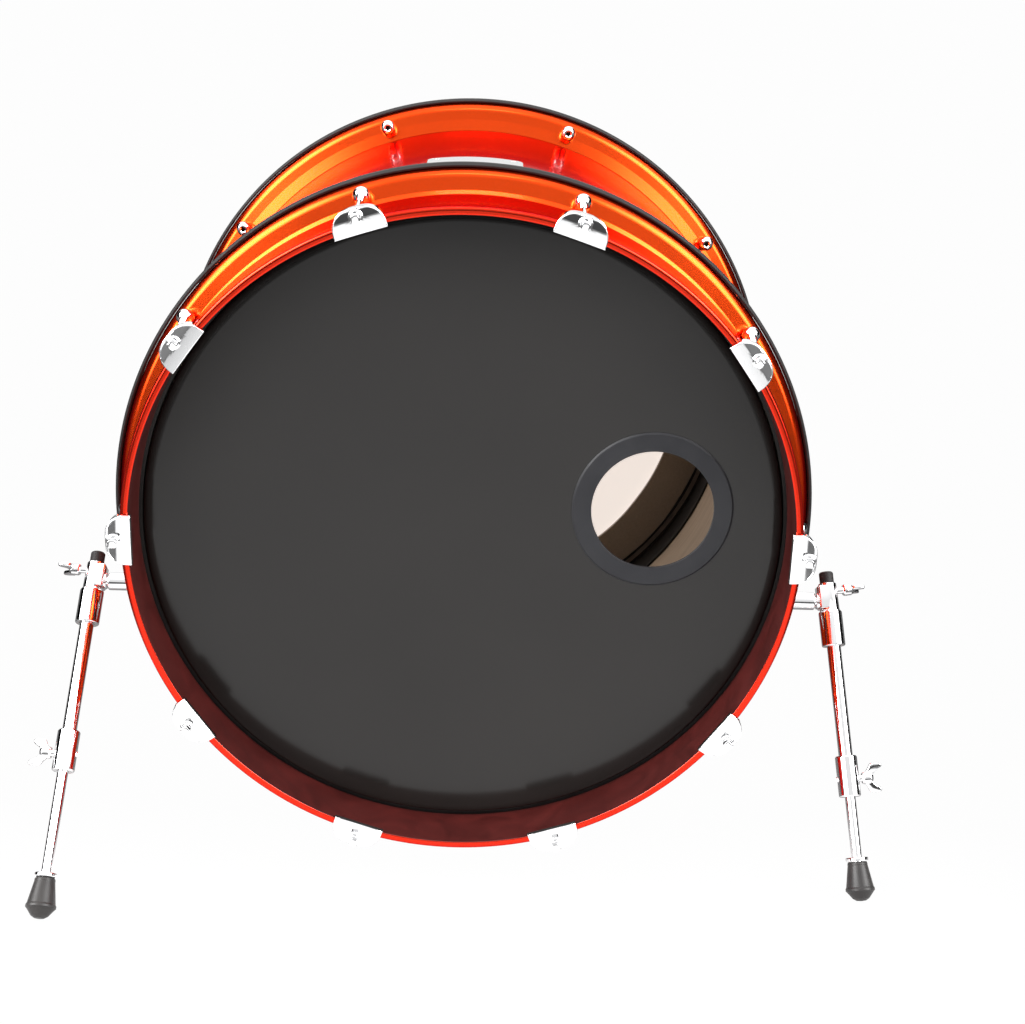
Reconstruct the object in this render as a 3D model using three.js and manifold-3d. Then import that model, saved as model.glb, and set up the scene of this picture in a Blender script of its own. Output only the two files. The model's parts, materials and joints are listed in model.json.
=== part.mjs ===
// Bass drum on two telescopic spurs, with a microphone port in its front head.
// Millimetres. +Z is up, the front head faces -Y and the batter head faces +Y.
import * as THREE from "three";
import { mergeVertices } from "three/addons/utils/BufferGeometryUtils.js";
import Module from "manifold-3d";

const wasm = await Module();
wasm.setup();

// Overall: radii are from the drum's axis, depths from the front hoop's face.
const DEPTH = 560;
const FLOOR = 320;
const TURNS = 40;
const STATIONS = 10;
const GAP = 0.3;

// Where the drum's own origin sits in the part's frame.
const SIDE_SHIFT = 0;
const DEPTH_SHIFT = -243;

// The batter end is this much larger in radius than the front end.
const BATTER_GROWTH = 12;

const HEAD_RECESS = 45;
const FILM = 0.6;
const SHELL_INSIDE = 283;
const SHELL_OUTSIDE = 289;

const PORT_X = 162.7;
const PORT_Z = 24.4;
const PORT_HOLE = 54;
const PORT_RING = 70;

// Claws, tension rods and ball lugs.
const CLAW_PLATE = 2.6;
const CLAW_LIP = 7;
const ROD_OFFSET = 292.3;
const ROD_RADIUS = 2.9;
const FRONT_LUG_RADIUS = 296.4;
const FRONT_LUG_DEPTH = 73.5;
const BATTER_LUG_DEPTH = 467.2;
const BALL = 6.4;

// Spurs.
const PIVOT = [341, 124, -89];
const TUBE_RADIUS = 6.35;
const ROD_LENGTH = 165;
const SPURS = {
  left: { side: -1, foot: [-352.5, -84, -316.7], washer: 270 },
  right: { side: 1, foot: [366, -24, -320.8], washer: 234 },
};

const FINISH = {
  lacquer: { color: 0xe0451f, roughness: 0.12, metalness: 0.35 },
  film: { color: 0x1d1b1b, roughness: 0.25, metalness: 0 },
  white: { color: 0xefe6da, roughness: 0.5, metalness: 0 },
  black: { color: 0x151313, roughness: 0.45, metalness: 0 },
  felt: { color: 0x4a4038, roughness: 0.95, metalness: 0 },
  chrome: { color: 0xdfe2e6, roughness: 0.08, metalness: 1 },
  rubber: { color: 0x191919, roughness: 0.8, metalness: 0 },
};

// ---- solids ----

function solid(geometry) {
  const bare = geometry.clone();
  bare.deleteAttribute("normal");
  bare.deleteAttribute("uv");
  const merged = mergeVertices(bare, 1e-4);
  const index = merged.index.array;
  const kept = [];
  for (let i = 0; i < index.length; i += 3) {
    const [a, b, c] = [index[i], index[i + 1], index[i + 2]];
    if (a !== b && b !== c && c !== a) kept.push(a, b, c);
  }
  const build = (tris) =>
    new wasm.Manifold(
      new wasm.Mesh({
        numProp: 3,
        vertProperties: merged.attributes.position.array,
        triVerts: new Uint32Array(tris),
      }),
    );
  const made = build(kept);
  return made.volume() < 0 ? build(kept.reverse()) : made;
}

function geometryOf(body) {
  const mesh = body.getMesh();
  const geometry = new THREE.BufferGeometry();
  const points = new Float32Array(mesh.vertProperties);
  geometry.setAttribute("position", new THREE.BufferAttribute(points, 3));
  geometry.setIndex(Array.from(mesh.triVerts));
  const flat = geometry.toNonIndexed();
  flat.computeVertexNormals();
  return flat;
}

// A body turned about the drum's axis: profile points are [radius, depth].
function turned(profile, turns = TURNS) {
  const points = profile.map(([radius, depth]) => new THREE.Vector2(radius, depth));
  if (profile[0][0] > 0) points.push(points[0].clone());
  return solid(new THREE.LatheGeometry(points, turns));
}

// A body turned about Z: profile points are [radius, height].
function turnedUp(profile, turns = 16) {
  const points = profile.map(([radius, height]) => new THREE.Vector2(radius, height));
  if (profile[0][0] > 0) points.push(points[0].clone());
  return solid(new THREE.LatheGeometry(points, turns).rotateX(Math.PI / 2));
}

function round(radius, from, to, turns = 16) {
  return turnedUp([[0, from], [radius, from], [radius, to], [0, to]], turns);
}

function block(x, y, z, [cx, cy, cz]) {
  return solid(new THREE.BoxGeometry(x, y, z).translate(cx, cy, cz));
}

// An outline in tangent and radius, carried from one depth to another.
function slab(outline, from, to) {
  const shape = new THREE.Shape(outline.map(([x, y]) => new THREE.Vector2(x, y)));
  const geometry = new THREE.ExtrudeGeometry(shape, { depth: to - from, bevelEnabled: false });
  geometry.applyMatrix4(new THREE.Matrix4().makeRotationX(Math.PI / 2));
  geometry.translate(0, to, 0);
  return solid(geometry);
}

function moved(body, matrix) {
  return solid(geometryOf(body).applyMatrix4(matrix));
}

// Puts a body made along Z on the line from a point towards a direction; its X stays nearest to side.
function along(body, origin, direction, side) {
  const w = new THREE.Vector3(...direction).normalize();
  const u = new THREE.Vector3(...side);
  u.addScaledVector(w, -u.dot(w)).normalize();
  const v = new THREE.Vector3().crossVectors(w, u);
  const matrix = new THREE.Matrix4().makeBasis(u, v, w).setPosition(...origin);
  return moved(body, matrix);
}

const drum = new THREE.Group();
drum.position.set(SIDE_SHIFT, DEPTH_SHIFT, FLOOR);

function piece(name, body, finish) {
  const mesh = new THREE.Mesh(geometryOf(body), new THREE.MeshStandardMaterial(FINISH[finish]));
  mesh.name = name;
  drum.add(mesh);
}

// A profile of the front end, mirrored to the batter end and grown to its size.
function batterEnd(profile) {
  return profile.map(([radius, depth]) => [radius > 0 ? radius + BATTER_GROWTH : 0, DEPTH - depth]);
}

// ---- hoops: rounded front edge, a ledge that presses the head's rim, a skirt over it ----

const hoop = [
  [281, 2.4], [282.6, 0], [285.6, 0], [287.4, 2.2], [288.2, 7],
  [288.2, 57], [286.9, 57], [286.9, 50], [281, 50],
];
piece("front_hoop", turned(hoop), "lacquer");
piece("batter_hoop", turned(batterEnd(hoop)), "lacquer");

// ---- heads: flat film, turned-down collar, metal rim under the hoop's ledge ----

const head = [
  [0, HEAD_RECESS], [270, HEAD_RECESS], [275.5, 46.2], [277.9, 49.4], [277.9, 50.4],
  [286.3, 50.4], [286.3, 56.8], [277.2, 56.8], [277.2, 50],
  [274.9, 46.9], [269.8, HEAD_RECESS + FILM], [0, HEAD_RECESS + FILM],
];
const aboutPort = new THREE.Matrix4().makeTranslation(PORT_X, 0, PORT_Z);
const portHole = moved(turned([[0, 40], [PORT_HOLE, 40], [PORT_HOLE, 50], [0, 50]], 40), aboutPort);
piece("front_head", turned(head).subtract(portHole), "film");
piece("batter_head", turned(batterEnd(head)), "white");

const portTrim = [
  [PORT_HOLE - 1.4, 43.2], [PORT_RING, 43.2], [PORT_RING + 0.6, 44.7], [PORT_HOLE - 1.4, 44.7],
];
piece("port_ring", moved(turned(portTrim, 40), aboutPort), "black");

// ---- shell: plain tube between two flared collars that carry the lugs ----

const frontCollar = [
  [269.5, 46], [275, 47.3], [276.8, 50.2], [276.8, 57.5], [285.2, 57.7],
  [285.2, 77.5], [288.5, 80.3], [302, 85], [305.6, 88.2], [305.6, 97],
  [289, 107], [289, 116], [SHELL_INSIDE, 116], [SHELL_INSIDE, 72], [272.5, 56], [268.8, 47.6],
];
piece("front_collar", turned(frontCollar), "lacquer");

const tube = [
  [SHELL_INSIDE, 116.3], [SHELL_OUTSIDE, 116.3], [SHELL_OUTSIDE, 468], [SHELL_INSIDE, 468],
];
piece("shell", turned(tube), "lacquer");

const batterRodLine = ROD_OFFSET + BATTER_GROWTH;
const batterCollar = [
  [SHELL_INSIDE, 468.3], [289.2, 468.3], [300, 473], [311, 476.9], [316, 481],
  [316, 490], [300, 493.5], [288.8, 498], [288.8, 509.8], [287, 512.6],
  [284.4, 513.3], [283.6, 512.4], [SHELL_INSIDE, 508],
];
let pierced = turned(batterCollar);
for (let k = 0; k < STATIONS; k += 1) {
  const bore = round(ROD_RADIUS + GAP, -500, -465, 8).translate([0, batterRodLine, 0]);
  const turn = new THREE.Matrix4().makeRotationY(Math.PI / 2 - (k * 2 * Math.PI) / STATIONS);
  const stand = new THREE.Matrix4().makeRotationX(Math.PI / 2);
  pierced = pierced.subtract(moved(bore, turn.multiply(stand)));
}
piece("batter_collar", pierced, "lacquer");

// Black beads that close the flared edges.
const bead = [
  [305.9, 97.2], [305.9, 89.2], [307, 88.2], [308.8, 88.9], [309.6, 90.4], [309.6, 95.8], [308.6, 97.2],
];
piece("front_edge_bead", turned(bead), "black");
const batterBead = [
  [316.3, 490.2], [316.3, 482.2], [317.4, 481.2], [319.2, 481.9], [320, 483.4], [320, 488.8], [319, 490.2],
];
piece("batter_edge_bead", turned(batterBead), "black");

// Inside the batter end: a black band over the joint and a felt ring against the head.
piece("inner_joint_band", turned([[280, 466], [282.7, 466], [282.7, 507], [280, 507]]), "black");
const feltBack = DEPTH - HEAD_RECESS - FILM - GAP;
piece(
  "muffling_ring",
  turned([[231, feltBack - 5], [272, feltBack - 5], [272, feltBack], [231, feltBack]]),
  "felt",
);

// Chrome plate for a tom holder: flat on top, hollowed to the shell below.
const plateWidth = 90;
const plateLength = 70;
const plateTop = 293;
const plateMiddle = 213;
const plateOutline = [
  [-plateWidth / 2, 270], [plateWidth / 2, 270], [plateWidth / 2, plateTop - 1.2],
  [plateWidth / 2 - 1.2, plateTop], [-plateWidth / 2 + 1.2, plateTop], [-plateWidth / 2, plateTop - 1.2],
];
const underPlate = turned([[0, 100], [SHELL_OUTSIDE + GAP, 100], [SHELL_OUTSIDE + GAP, 400], [0, 400]]);
const plate = slab(plateOutline, plateMiddle - plateLength / 2, plateMiddle + plateLength / 2);
piece("tom_holder_plate", plate.subtract(underPlate), "chrome");

// ---- claws with their tension rods ----

// Half outline of a claw: tangent and radius, from the straight inner edge outwards.
const clawHalf = [[22.5, 277.5], [21.6, 286], [17.6, 293.6], [8, 299.2]];
const clawPocket = [[20.4, 277], [19.6, 285.4], [15.9, 292.1], [7.3, 297]];
const bothSides = (half) => [...half, ...half.map(([x, y]) => [-x, y]).reverse()];

const clawBlank = slab(bothSides(clawHalf), -CLAW_PLATE - 0.4, CLAW_LIP);
const pocket = slab(bothSides(clawPocket), -0.4, CLAW_LIP + 1);
const hoopRoom = turned([[0, -0.4], [289.2, -0.4], [289.2, 20], [0, 20]]).rotate([0, 180 / TURNS, 0]);
const claw = clawBlank.subtract(pocket).subtract(hoopRoom);

// A rod along Z from its square key head to its far end; zero is the hoop's face.
function tensionRod(length) {
  const shank = round(ROD_RADIUS, -2, length, 8);
  const flange = round(6.6, -5, -2.6, 10);
  const key = block(6, 6, 8, [0, 0, -8.8]);
  return shank.add(flange).add(key);
}

// Local frame of a station: X tangent, Y depth, Z radius. Rods run along +Y.
const rodTilt = Math.atan((FRONT_LUG_RADIUS - ROD_OFFSET) / FRONT_LUG_DEPTH);
const rodDirection = [0, Math.cos(rodTilt), Math.sin(rodTilt)];
const rodStart = [0, 0, ROD_OFFSET];
const lugDistance = FRONT_LUG_DEPTH / Math.cos(rodTilt);
const frontRod = along(tensionRod(lugDistance - 1), rodStart, rodDirection, [1, 0, 0]);
const frontClaw = claw.add(frontRod);

const ballGeometry = new THREE.SphereGeometry(BALL, 10, 7).rotateX(Math.PI / 2);
const ball = solid(ballGeometry);
const lugBore = round(ROD_RADIUS + GAP, -BALL - 1, -GAP, 8);
const lugAtRod = ball.add(round(3.6, 0, 8.4, 8)).subtract(lugBore);
const frontLug = along(lugAtRod.translate([0, 0, lugDistance]), rodStart, rodDirection, [1, 0, 0]);

// At the batter end the rod runs through the flared collar and ends in its ball.
const mirrorEnd = new THREE.Matrix4().makeRotationZ(Math.PI).setPosition(0, DEPTH, BATTER_GROWTH);
const toBatter = DEPTH - BATTER_LUG_DEPTH;
const openBall = ball.subtract(round(2.1, 1.5, BALL + 1, 8)).translate([0, 0, toBatter]);
const batterRod = tensionRod(toBatter - 1).add(openBall);
const batterStation = claw.add(along(batterRod, rodStart, [0, 1, 0], [1, 0, 0]));

for (let k = 0; k < STATIONS; k += 1) {
  const turn = new THREE.Matrix4().makeRotationY(Math.PI / 2 - (k * 2 * Math.PI) / STATIONS);
  const number = String(k + 1).padStart(2, "0");
  piece(`front_claw_${number}`, moved(frontClaw, turn), "chrome");
  piece(`front_lug_${number}`, moved(frontLug, turn), "chrome");
  piece(`batter_claw_${number}`, moved(batterStation, turn.clone().multiply(mirrorEnd)), "chrome");
}

// ---- spurs ----

// A wing bolt along +X with its shank's end at the origin.
function wingBolt(turn) {
  const screw = round(3, 0, 9, 12);
  const hub = turnedUp([[0, 7], [4.6, 7], [5.4, 8.5], [5, 15], [3, 17], [0, 17]], 14);
  const half = [[2.4, 10], [4.5, 9.6], [9, 12.6], [13.2, 14.4], [13.6, 24.4], [10.5, 25], [4, 17.5], [2.4, 16.4]];
  const wing = new THREE.Shape(half.map(([x, y]) => new THREE.Vector2(x, y)));
  const flat = new THREE.ExtrudeGeometry(wing, { depth: 3.4, bevelEnabled: false });
  const leaf = solid(flat.translate(0, 0, -1.7).rotateX(Math.PI / 2));
  const other = moved(leaf, new THREE.Matrix4().makeRotationZ(Math.PI));
  const whole = screw.add(hub).add(leaf).add(other);
  const matrix = new THREE.Matrix4().makeRotationY(Math.PI / 2);
  return moved(whole, matrix.multiply(new THREE.Matrix4().makeRotationZ(turn)));
}

for (const [name, { side, foot, washer }] of Object.entries(SPURS)) {
  const pivot = [side * PIVOT[0], PIVOT[1], PIVOT[2]];
  const direction = foot.map((value, axis) => value - pivot[axis]);
  const outward = [side, 0, 0];
  const lay = (body) => along(body, pivot, direction, outward);

  // Bracket: curved foot on the shell, flared arm, pin that the clamp turns on.
  const base = block(16, 42, 62, [side * 277.5, PIVOT[1] + 16, PIVOT[2]]);
  const arm = turnedUp([[0, 268], [14, 268], [13, 291], [8.2, 304], [8.2, 327], [0, 327]], 16);
  const pin = round(4, 320, 332, 12);
  const armAtSide = along(arm.add(pin), [0, PIVOT[1], PIVOT[2]], outward, [0, 1, 0]);
  const underBracket = turned(
    [[0, 60], [SHELL_OUTSIDE + GAP, 60], [SHELL_OUTSIDE + GAP, 200], [0, 200]],
  );
  const overBase = turned([[0, 60], [SHELL_OUTSIDE + 5, 60], [SHELL_OUTSIDE + 5, 200], [0, 200]]);
  const bracketBody = base.intersect(overBase).add(armAtSide).subtract(underBracket);
  piece(`${name}_spur_bracket`, bracketBody, "chrome");

  // Clamp: block round the tube, long collar below it, eye on the bracket's pin.
  const tubeRoom = round(TUBE_RADIUS + GAP, -40, 60, 16);
  const clampBody = turnedUp([[0, -17], [8.6, -17], [9, 8], [10.8, 10], [10.8, 42], [0, 42]], 16)
    .add(block(14, 17, 22, [-3, 0, -4]));
  const eye = along(round(7.6, -12.6, 0, 18), [0, 0, 0], [1, 0, 0], [0, 1, 0]);
  const boltRoom = along(round(3.3, 5, 20, 12), [0, 0, -10], [1, 0, 0], [0, 1, 0]);
  const clamped = lay(clampBody.subtract(tubeRoom).subtract(boltRoom));
  const eyeSide = along(round(7.6, 7, 12.4, 18), pivot, [-side, 0, 0], [0, 1, 0]);
  const pinRoom = along(round(4 + GAP, 8.5, 20, 12), pivot, [-side, 0, 0], [0, 1, 0]);
  piece(`${name}_spur_clamp`, clamped.add(eyeSide).subtract(pinRoom), "chrome");

  const clampBolt = wingBolt(Math.PI / 2).translate([TUBE_RADIUS + 0.5, 0, -10]);
  piece(`${name}_clamp_wing_bolt`, lay(clampBolt), "chrome");

  // Upper tube, closed at the top, open below for the sliding rod.
  const upper = turnedUp([
    [0, -28], [5.4, -28], [TUBE_RADIUS, -26.6], [TUBE_RADIUS, 155], [5.15, 155], [5.15, -24], [0, -24],
  ]);
  piece(`${name}_spur_tube`, lay(upper), "chrome");

  // Height collar: grips the tube's end, and its wing bolt bears on the rod.
  const collar = turnedUp([
    [TUBE_RADIUS + GAP, 143], [9.2, 143], [9.9, 144], [9.9, 179], [9.2, 180],
    [5.15, 180], [5.15, 155.4], [TUBE_RADIUS + GAP, 155.4],
  ]);
  const lockRoom = along(round(3.3, 4, 20, 12), [0, 0, 164], [1, 0, 0], [0, 1, 0]);
  piece(`${name}_height_collar`, lay(collar.subtract(lockRoom)), "chrome");
  const heightBolt = wingBolt(0.35).translate([5.6, 0, 164]);
  piece(`${name}_height_wing_bolt`, lay(heightBolt), "chrome");

  // Sliding rod with its stop washer, and the rubber foot pushed on its end.
  const rod = turnedUp([
    [0, washer - ROD_LENGTH], [4.2, washer - ROD_LENGTH], [4.75, washer - ROD_LENGTH + 0.8],
    [4.75, washer], [10.2, washer], [10.2, washer + 3.4], [4.75, washer + 3.4],
    [4.75, washer + 16], [0, washer + 16],
  ]);
  piece(`${name}_spur_rod`, lay(rod), "chrome");
  const top = washer + 3.7;
  const rubber = turnedUp([
    [5.05, top], [8.4, top], [8.9, top + 1.2], [13, top + 24], [13, top + 26], [7, top + 33],
    [4, top + 34.4], [0, top + 34.8], [0, top + 13], [5.05, top + 13],
  ], 18);
  piece(`${name}_spur_foot`, lay(rubber), "rubber");
}

const bassDrum = new THREE.Group();
bassDrum.add(drum);
export default bassDrum;
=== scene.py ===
import json
import math

import bmesh
import bpy
from mathutils import Matrix, Vector, noise


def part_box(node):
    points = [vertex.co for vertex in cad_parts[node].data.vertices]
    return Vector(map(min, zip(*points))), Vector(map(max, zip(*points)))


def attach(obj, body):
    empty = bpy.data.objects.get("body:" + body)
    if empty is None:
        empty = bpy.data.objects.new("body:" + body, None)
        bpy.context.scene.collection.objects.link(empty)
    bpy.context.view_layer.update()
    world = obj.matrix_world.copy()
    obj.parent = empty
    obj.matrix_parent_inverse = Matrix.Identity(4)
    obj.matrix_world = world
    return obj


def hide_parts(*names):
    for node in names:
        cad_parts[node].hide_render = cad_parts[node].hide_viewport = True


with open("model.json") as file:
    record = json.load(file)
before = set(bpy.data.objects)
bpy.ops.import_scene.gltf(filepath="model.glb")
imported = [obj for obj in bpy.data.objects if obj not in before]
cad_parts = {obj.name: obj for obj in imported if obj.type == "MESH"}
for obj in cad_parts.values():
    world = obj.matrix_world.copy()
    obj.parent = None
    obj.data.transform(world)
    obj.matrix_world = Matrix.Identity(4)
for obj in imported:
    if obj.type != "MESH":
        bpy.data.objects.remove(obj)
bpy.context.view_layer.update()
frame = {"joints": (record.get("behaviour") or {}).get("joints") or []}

# ---- camera ----
# It stands a little right of the drum's axis, above the front head, and looks down at it.
# Its place, tilt and lens were fitted together, so they are kept to the last digit.

CAMERA_PLACE = (0.01556, -1.58001, 0.83140)
CAMERA_RIGHT = Vector((0.999407, -0.007038, 0.033700))
CAMERA_UP = Vector((-0.029374, 0.336175, 0.941341))

camera = bpy.data.objects.new("camera", bpy.data.cameras.new("camera"))
bpy.context.collection.objects.link(camera)
tilt = Matrix((CAMERA_RIGHT, CAMERA_UP, CAMERA_RIGHT.cross(CAMERA_UP))).transposed().to_4x4()
camera.matrix_world = Matrix.Translation(CAMERA_PLACE) @ tilt
camera.data.lens = 59.70
camera.data.sensor_width = 36
camera.data.clip_end = 100
bpy.context.scene.camera = camera

# ---- studio ----
# A white sweep of floor in a pale room, with round soft lights high on the left and right of the camera.
# The room is dark round the horizon, which draws the dark lines in the chrome.

bpy.context.scene.view_settings.view_transform = "Standard"

ROOM_TONES = ((0.0, 0.05), (0.17, 0.07), (0.27, 0.62), (0.60, 0.66), (0.78, 1.1), (1.0, 2.2))
# For each soft light: the way to it, its inner and outer half angles in degrees, and its strength.
SOFT_LIGHTS = (
    ((-0.81, -0.33, 0.48), 5.0, 36.0, 17.0),
    ((0.81, -0.33, 0.48), 5.0, 36.0, 14.0),
    ((0.018, -0.84, 0.516), 10.0, 30.0, 0.2),
    ((0.0, 0.96, 0.28), 30.0, 62.0, 0.8),
)
# Dark flags shade the room behind and beside the drum, down to the light that a flag lets past.
DARK_FLAGS = (
    ((-0.85, 0.50, 0.08), 30, 38), ((0.85, 0.50, 0.08), 30, 38),
    ((-0.98, 0.02, 0.05), 22, 30), ((0.98, 0.02, 0.05), 22, 30),
)
PAST_FLAG = 0.02


def node_tools(tree):
    """Short ways to add a node, join two sockets and spread a value over a new range, in one node tree."""

    def add(kind, inputs=None, **settings):
        node = tree.nodes.new("ShaderNode" + kind)
        for name, value in settings.items():
            setattr(node, name, value)
        for name, value in (inputs or {}).items():
            node.inputs[name].default_value = value
        return node

    def join(source, target):
        tree.links.new(source, target)

    def spread(source, start, end, low, high, **settings):
        limits = {"From Min": start, "From Max": end, "To Min": low, "To Max": high}
        ramp = add("MapRange", limits, **settings)
        join(source, ramp.inputs["Value"])
        return ramp.outputs[0]

    return add, join, spread


def set_ramp(ramp, colours):
    """Give a colour ramp its stops, as pairs of position and colour from the first to the last."""
    stops = ramp.color_ramp.elements
    stops[0].position, stops[0].color = colours[0]
    stops[1].position, stops[1].color = colours[-1]
    for position, colour in colours[1:-1]:
        stops.new(position).color = colour


world = bpy.data.worlds.new("room")
bpy.context.scene.world = world
world.use_nodes = True
world.node_tree.nodes.clear()
add, join, spread = node_tools(world.node_tree)
direction = add("TexCoord")
height = add("SeparateXYZ")
join(direction.outputs["Generated"], height.inputs[0])
room_tones = add("ValToRGB")
set_ramp(room_tones, [(position, (grey, grey, grey, 1)) for position, grey in ROOM_TONES])
join(height.outputs["Z"], room_tones.inputs[0])


def toward(way, inner, outer, low, high, **settings):
    """A value in the room that goes from low to high as the view turns towards a direction."""
    near = add("VectorMath", operation="DOT_PRODUCT")
    near.inputs[1].default_value = Vector(way).normalized()
    join(direction.outputs["Generated"], near.inputs[0])
    start, end = math.cos(math.radians(outer)), math.cos(math.radians(inner))
    return spread(near.outputs["Value"], start, end, low, high, **settings)


lit = room_tones.outputs[0]
for way, inner, outer, strength in SOFT_LIGHTS:
    total = add("VectorMath", operation="ADD")
    join(lit, total.inputs[0])
    join(toward(way, inner, outer, 0.0, strength, interpolation_type="SMOOTHERSTEP"), total.inputs[1])
    lit = total.outputs[0]
for way, inner, outer in DARK_FLAGS:
    shaded = add("VectorMath", operation="SCALE")
    join(lit, shaded.inputs[0])
    join(toward(way, inner, outer, 1.0, PAST_FLAG), shaded.inputs["Scale"])
    lit = shaded.outputs[0]
room = add("Background", {"Strength": 1.0})
join(lit, room.inputs["Color"])
seen_room = add("Background", {"Color": (1, 1, 1, 1), "Strength": 1.0})
ray = add("LightPath")
pick = add("MixShader")
join(ray.outputs["Is Camera Ray"], pick.inputs[0])
join(room.outputs[0], pick.inputs[1])
join(seen_room.outputs[0], pick.inputs[2])
join(pick.outputs[0], add("OutputWorld").inputs["Surface"])

FLOOR_REACH = 60.0
# The paper's colour and glow are painted light: a pool where the lights fall on it, with painted shade beside
# the drum, under it and far away.
PAINTED_PAPER_GLOW = 0.62
SEEN_WHITE = 0.98
BESIDE_DRUM = (0.45, 0.66)
UNDER_DRUM = (-0.28, -0.12)
FAR_AWAY = (1.8, 6.0)

floor_mesh = bpy.data.meshes.new("floor")
corners = [(x * FLOOR_REACH, y * FLOOR_REACH, 0) for x, y in ((-1, -1), (1, -1), (1, 1), (-1, 1))]
floor_mesh.from_pydata(corners, [], [(0, 1, 2, 3)])
floor = bpy.data.objects.new("floor", floor_mesh)
bpy.context.collection.objects.link(floor)
paper = bpy.data.materials.new("white_paper")
paper.use_nodes = True
add, join, spread = node_tools(paper.node_tree)
sheet = paper.node_tree.nodes["Principled BSDF"]
sheet.inputs["Roughness"].default_value = 0.9
sheet.inputs["Emission Strength"].default_value = PAINTED_PAPER_GLOW
where = add("TexCoord")
away = add("VectorMath", operation="LENGTH")
join(where.outputs["Object"], away.inputs[0])
sides = add("SeparateXYZ")
join(where.outputs["Object"], sides.inputs[0])
sideways = add("Math", operation="ABSOLUTE")
join(sides.outputs["X"], sideways.inputs[0])
# Painted light and shade on the floor: a lit pool round the drum, painted shade beside it and under it.
painted_floor_light_and_shade = add("Math", operation="MULTIPLY")
join(spread(sideways.outputs[0], *BESIDE_DRUM, 1.0, 0.02), painted_floor_light_and_shade.inputs[0])
join(spread(sides.outputs["Y"], *UNDER_DRUM, 1.0, 0.22), painted_floor_light_and_shade.inputs[1])
for socket, near, far in (("Base Color", 0.24, 0.03), ("Emission Color", 1.0, 0.04)):
    fading = spread(away.outputs["Value"], *FAR_AWAY, near, far, interpolation_type="SMOOTHERSTEP")
    kept = add("Math", operation="MULTIPLY")
    join(fading, kept.inputs[0])
    join(painted_floor_light_and_shade.outputs[0], kept.inputs[1])
    join(kept.outputs[0], sheet.inputs[socket])
glow = add("Emission", {"Color": (1, 1, 1, 1), "Strength": 1.0})
ray = add("LightPath")
shown = add("Math", operation="MULTIPLY")
shown.inputs[1].default_value = SEEN_WHITE
join(ray.outputs["Is Camera Ray"], shown.inputs[0])
mixed = add("MixShader")
join(shown.outputs[0], mixed.inputs[0])
join(sheet.outputs[0], mixed.inputs[1])
join(glow.outputs[0], mixed.inputs[2])
join(mixed.outputs[0], paper.node_tree.nodes["Material Output"].inputs["Surface"])
floor_mesh.materials.append(paper)

lamp = bpy.data.lights.new("overhead_strip", "AREA")
lamp.shape = "RECTANGLE"
lamp.size, lamp.size_y, lamp.energy = 0.9, 0.22, 6
strip = bpy.data.objects.new("overhead_strip", lamp)
bpy.context.collection.objects.link(strip)
strip.location = (0.05, -0.95, 3.0)
strip.rotation_euler = (Vector((0, 0, 0.3)) - strip.location).to_track_quat("-Z", "Y").to_euler()

# ---- hoops ----
# Two bent ply hoops, sprayed in the drum's orange candy lacquer outside and stained dark inside.
# Each has a rounded front edge and a ledge that presses on the head's rim.

face_low, face_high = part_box("front_hoop")
back_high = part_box("batter_hoop")[1]
AXIS = Vector(((face_low.x + face_high.x) / 2, face_low.y, (face_low.z + face_high.z) / 2))
DRUM_DEPTH = round((back_high.y - face_low.y) * 1000, 3)
BATTER_GROWTH = round((back_high.z - face_high.z) * 1000, 3)
MM = Matrix.Scale(0.001, 4)

# The drum's own frame: millimetres, Z runs from the front hoop's face to the back.
DRUM = Matrix.Translation(AXIS) @ Matrix(((1, 0, 0, 0), (0, 0, 1, 0), (0, -1, 0, 0), (0, 0, 0, 1))) @ MM


def marks_group():
    """Finger smudges and fine rubbed lines, as two masks from 0 to 1."""
    group = bpy.data.node_groups.new("handling_marks", "ShaderNodeTree")
    group.interface.new_socket("Scale", in_out="INPUT", socket_type="NodeSocketFloat").default_value = 30
    group.interface.new_socket("Contrast", in_out="INPUT", socket_type="NodeSocketFloat").default_value = 2
    group.interface.new_socket("Smudge", in_out="OUTPUT", socket_type="NodeSocketFloat")
    group.interface.new_socket("Rubbed", in_out="OUTPUT", socket_type="NodeSocketFloat")
    add, join, spread = node_tools(group)
    given = group.nodes.new("NodeGroupInput")
    made = group.nodes.new("NodeGroupOutput")
    place = add("TexCoord")
    cloud = add("TexNoise", {"Detail": 6.0, "Roughness": 0.62})
    join(place.outputs["Object"], cloud.inputs["Vector"])
    join(given.outputs["Scale"], cloud.inputs["Scale"])
    centred = add("Math", operation="SUBTRACT")
    centred.inputs[1].default_value = 0.5
    join(cloud.outputs["Fac"], centred.inputs[0])
    pushed = add("Math", operation="MULTIPLY_ADD", use_clamp=True)
    pushed.inputs[2].default_value = 0.5
    join(centred.outputs[0], pushed.inputs[0])
    join(given.outputs["Contrast"], pushed.inputs[1])
    join(pushed.outputs[0], made.inputs["Smudge"])
    stretch = add("Mapping", {"Scale": (14, 1.0, 3.2), "Rotation": (0.5, 0.3, 0.7)})
    join(place.outputs["Object"], stretch.inputs["Vector"])
    lines = add("TexNoise", {"Scale": 90.0, "Detail": 3.0, "Roughness": 0.7})
    join(stretch.outputs[0], lines.inputs["Vector"])
    join(spread(lines.outputs["Fac"], 0.60, 0.72, 0.0, 1.0), made.inputs["Rubbed"])
    return group


HANDLING = marks_group()


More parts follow.
